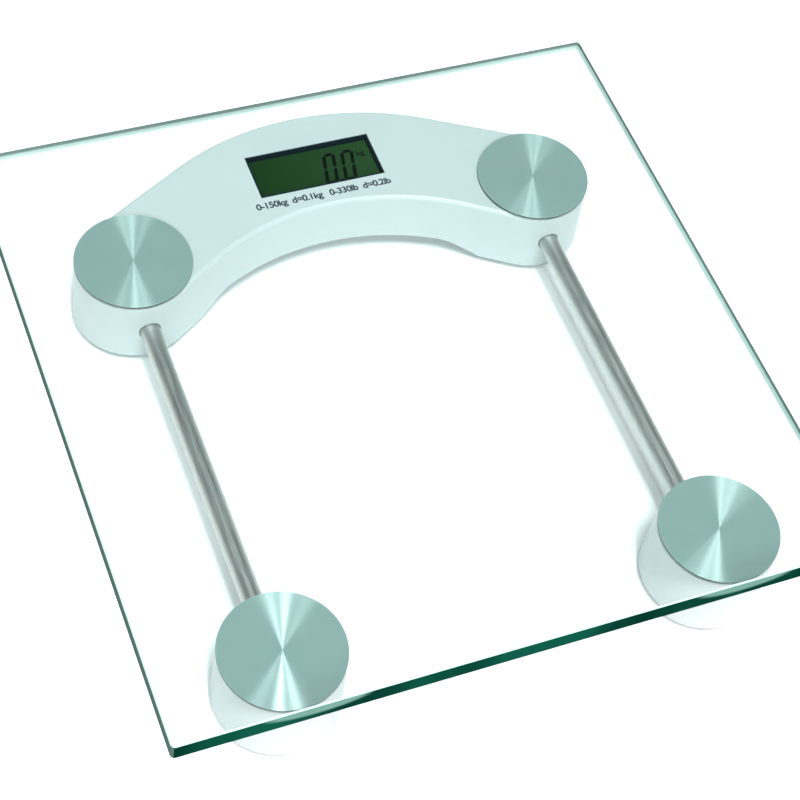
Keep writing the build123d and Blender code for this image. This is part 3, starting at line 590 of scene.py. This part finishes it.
# ---- feet ----
# Each foot is a light grey ABS cup that slides up a little into its pod, with a soft grey
# rubber pad glued under it. The pad is moulded with two shallow rings for grip.
foot_abs = new_material("light_grey_abs")    # moulded, pale and half matt
foot_grain = add(foot_abs, "ShaderNodeTexNoise", Scale=1 / (0.4 * MM), Detail=3.0,
                 Vector=add(foot_abs, "ShaderNodeTexCoord").outputs["Object"])
foot_tone = add(foot_abs, "ShaderNodeMix", data_type="RGBA", _0=foot_grain.outputs["Fac"],
                _6=colour("#D5DADA"), _7=colour("#E2E6E5"))
foot_bump = add(foot_abs, "ShaderNodeBump", Strength=0.2, Distance=0.03 * MM,
                Height=foot_grain.outputs["Fac"])
foot_face = add(foot_abs, "ShaderNodeBsdfPrincipled", Base__Color=foot_tone.outputs[2], Roughness=0.45,
                IOR=1.53, Normal=foot_bump.outputs[0])
add(foot_abs, "ShaderNodeOutputMaterial", Surface=foot_face.outputs[0])
dress(foot_abs, *["foot_cup_" + pod for pod in PODS])

grey_rubber = new_material("soft_grey_rubber")    # dark, dusty and dull
rubber_at = add(grey_rubber, "ShaderNodeTexCoord")
rubber_grain = add(grey_rubber, "ShaderNodeTexNoise", Scale=1 / (0.5 * MM), Detail=4.0,
                   Vector=rubber_at.outputs["Object"])
rubber_tone = add(grey_rubber, "ShaderNodeMix", data_type="RGBA", _0=rubber_grain.outputs["Fac"],
                  _6=colour("#4B4F51"), _7=colour("#5A5E60"))
rubber_bump = add(grey_rubber, "ShaderNodeBump", Strength=0.3, Distance=0.05 * MM,
                  Height=rubber_grain.outputs["Fac"])
rubber_face = add(grey_rubber, "ShaderNodeBsdfPrincipled", Base__Color=rubber_tone.outputs[2],
                  Roughness=0.8, IOR=1.52, Normal=rubber_bump.outputs[0])
add(grey_rubber, "ShaderNodeOutputMaterial", Surface=rubber_face.outputs[0])
dress(grey_rubber, *["foot_pad_" + pod for pod in PODS])


# ---- load-cell leads ----
# Three thin copper cores in one extruded grey PVC sleeve, run from each load cell to the
# board. The front two pass through the tubes.
pvc_sleeve = new_material("grey_pvc_sleeve")    # even grey with a slight gloss
sleeve_grain = add(pvc_sleeve, "ShaderNodeTexNoise", Scale=1 / (1.0 * MM),
                   Vector=add(pvc_sleeve, "ShaderNodeTexCoord").outputs["Object"])
sleeve_tone = add(pvc_sleeve, "ShaderNodeMix", data_type="RGBA", _0=sleeve_grain.outputs["Fac"],
                  _6=colour("#A5A7A8"), _7=colour("#B4B6B6"))
sleeve_face = add(pvc_sleeve, "ShaderNodeBsdfPrincipled", Base__Color=sleeve_tone.outputs[2],
                  Roughness=0.45, IOR=1.53)
add(pvc_sleeve, "ShaderNodeOutputMaterial", Surface=sleeve_face.outputs[0])
dress(pvc_sleeve, *["cable_" + pod for pod in PODS])


# ---- studio ----
# A pale seamless floor in a white tent that is bright near the floor and dim above, a wide
# softbox behind the camera, and three narrow ones overhead that draw the fans on the discs.
FLOOR_HALF = 6.0
paper = new_material("white_paper_floor")    # coated card, flat white without a shine
paper_grain = add(paper, "ShaderNodeTexNoise", Scale=1 / (40 * MM),
                  Vector=add(paper, "ShaderNodeTexCoord").outputs["Object"])
paper_tone = add(paper, "ShaderNodeMix", data_type="RGBA", _0=paper_grain.outputs["Fac"],
                 _6=colour("#FAFAFA"), _7=colour("#FCFCFC"))
paper_face = add(paper, "ShaderNodeBsdfPrincipled", Base__Color=paper_tone.outputs[2], Roughness=0.9,
                 Specular__IOR__Level=0.1)
# it is clear from below, so that the underside of the object can be looked at
below = add(paper, "ShaderNodeNewGeometry")
see_through = add(paper, "ShaderNodeBsdfTransparent")
one_way = add(paper, "ShaderNodeMixShader", _0=below.outputs["Backfacing"],
              _1=paper_face.outputs[0], _2=see_through.outputs[0])
add(paper, "ShaderNodeOutputMaterial", Surface=one_way.outputs[0])
floor_mesh = bmesh.new()
bmesh.ops.create_grid(floor_mesh, x_segments=1, y_segments=1, size=FLOOR_HALF)
floor_data = bpy.data.meshes.new("floor")
floor_mesh.to_mesh(floor_data)
floor_mesh.free()
floor_data.materials.append(paper)
floor = bpy.data.objects.new("floor", floor_data)
bpy.context.scene.collection.objects.link(floor)

TENT_BRIGHT, TENT_DIM = 0.80, 0.06
FADE_FROM, FADE_TO = 0.25, 0.65    # rise of the direction where the tent starts and ends its fade
world = bpy.data.worlds.new("white_tent")
world.use_nodes = True
world.node_tree.nodes.clear()
toward = add(world, "ShaderNodeTexCoord")
toward_xyz = add(world, "ShaderNodeSeparateXYZ", Vector=toward.outputs["Generated"])
height = add(world, "ShaderNodeMapRange", interpolation_type="SMOOTHSTEP", Value=toward_xyz.outputs["Z"],
             From__Min=FADE_FROM, From__Max=FADE_TO, To__Min=TENT_BRIGHT, To__Max=TENT_DIM)
tent = add(world, "ShaderNodeBackground", Color=(1.0, 1.0, 1.0, 1.0), Strength=height.outputs[0])
add(world, "ShaderNodeOutputWorld", Surface=tent.outputs[0])
bpy.context.scene.world = world


def softbox(name, azimuth, elevation, distance, width, length, power, lies_along=None):
    """A rectangular lamp that faces the middle of the object, its length along an azimuth."""
    lamp = bpy.data.lights.new(name, "AREA")
    lamp.shape = "RECTANGLE"
    lamp.size = width
    lamp.size_y = length
    lamp.energy = power
    box = bpy.data.objects.new(name, lamp)
    turn, rise = math.radians(azimuth), math.radians(elevation)
    aim = Vector((math.cos(turn) * math.cos(rise), math.sin(turn) * math.cos(rise), math.sin(rise)))
    along = math.radians(azimuth if lies_along is None else lies_along)
    across = Vector((math.cos(along), math.sin(along), 0)).cross(aim).normalized()
    box.matrix_world = (Matrix.Translation(aim * distance) @
                        Matrix((across, aim.cross(across), aim)).transposed().to_4x4())
    bpy.context.scene.collection.objects.link(box)


LAMP_AWAY = 4.0
STRIPS_ALONG = 254
softbox("softbox_strip_right", 288.8, 71.7, LAMP_AWAY, 0.30, 1.6, 90.0, STRIPS_ALONG)
softbox("softbox_strip_middle", 256.3, 75.1, LAMP_AWAY, 0.18, 1.6, 110.0, STRIPS_ALONG)
softbox("softbox_strip_left", 213.3, 70.2, LAMP_AWAY, 0.20, 1.6, 55.0, STRIPS_ALONG)
softbox("softbox_front", 250, 35, LAMP_AWAY, 2.0, 1.5, 80.0)

# the camera stands in front and to the left, looks down steeply and is rolled a little
AZIMUTH, ELEVATION, ROLL = (math.radians(a) for a in (-30.63, 54.095, 11.902))
EYE = Vector((-266.3, -456.25, 737.6)) * MM
FOCAL_LENGTH = 91.215
away = Vector((math.sin(AZIMUTH) * math.cos(ELEVATION), -math.cos(AZIMUTH) * math.cos(ELEVATION),
               math.sin(ELEVATION)))
right = Vector((math.cos(AZIMUTH), math.sin(AZIMUTH), 0))
up = away.cross(right)
level_right = right * math.cos(ROLL) + up * math.sin(ROLL)
level_up = up * math.cos(ROLL) - right * math.sin(ROLL)
lens = bpy.data.cameras.new("camera")
lens.sensor_width = 36
lens.lens = FOCAL_LENGTH
lens.clip_start = 0.01
camera = bpy.data.objects.new("camera", lens)
camera.matrix_world = Matrix.Translation(EYE) @ Matrix((level_right, level_up, away)).transposed().to_4x4()
bpy.context.scene.collection.objects.link(camera)
bpy.context.scene.camera = camera
bpy.context.scene.view_settings.view_transform = "Standard"
